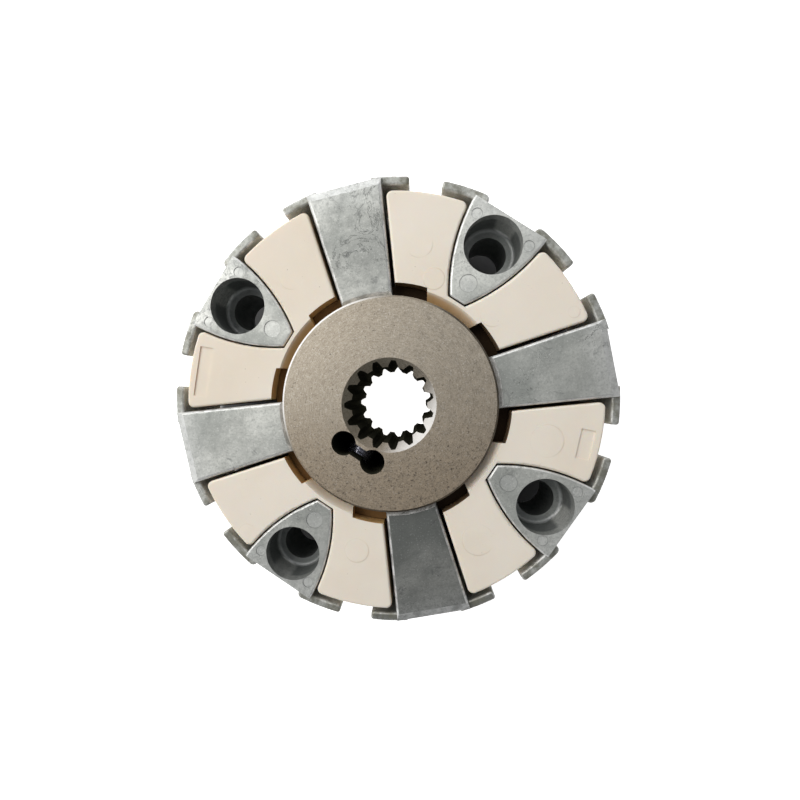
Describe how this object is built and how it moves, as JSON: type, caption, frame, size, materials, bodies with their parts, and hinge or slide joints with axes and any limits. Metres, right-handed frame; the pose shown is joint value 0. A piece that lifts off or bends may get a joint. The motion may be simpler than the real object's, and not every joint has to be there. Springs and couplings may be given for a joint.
{
  "type": "flexible shaft coupling",
  "caption": "Flexible claw coupling with a splined clamping hub, an elastic element, claws screwed to the hub and loose plug-in claws for a flange.",
  "frame": {"origin": "on the shaft axis, in the plane of the hub's rear face", "axes": "+Z along the shaft towards the front face with the counterbores; +X through radial claw 1"},
  "size_m": [0.262, 0.262, 0.085],
  "materials": {
    "hub_steel": "turned steel, lightly speckled",
    "element_elastomer": "cream moulded elastomer, satin",
    "claw_aluminium": "die-cast, dull, with bright edges",
    "screw_steel": "dark oiled steel"
  },
  "bodies": {
    "hub_side": {"hub": "hub_steel", "elastic_element": "element_elastomer", "clamp_screw": "screw_steel", "radial_claw_1": "claw_aluminium", "radial_claw_2": "claw_aluminium", "radial_claw_3": "claw_aluminium", "radial_claw_4": "claw_aluminium", "radial_claw_screw_1": "screw_steel", "radial_claw_screw_2": "screw_steel", "radial_claw_screw_3": "screw_steel", "radial_claw_screw_4": "screw_steel"},
    "flange_side": {"axial_claw_1": "claw_aluminium", "axial_claw_2": "claw_aluminium", "axial_claw_3": "claw_aluminium", "axial_claw_4": "claw_aluminium"}
  },
  "joints": [
    {"name": "wind_up", "type": "hinge", "parent": "hub_side", "child": "flange_side", "pos_m": [0, 0, 0.049], "axis": [0, 0, 1], "range_deg": [-3, 3], "stiffness_Nm_per_rad": 60, "deforming": ["elastic_element"]}
  ]
}
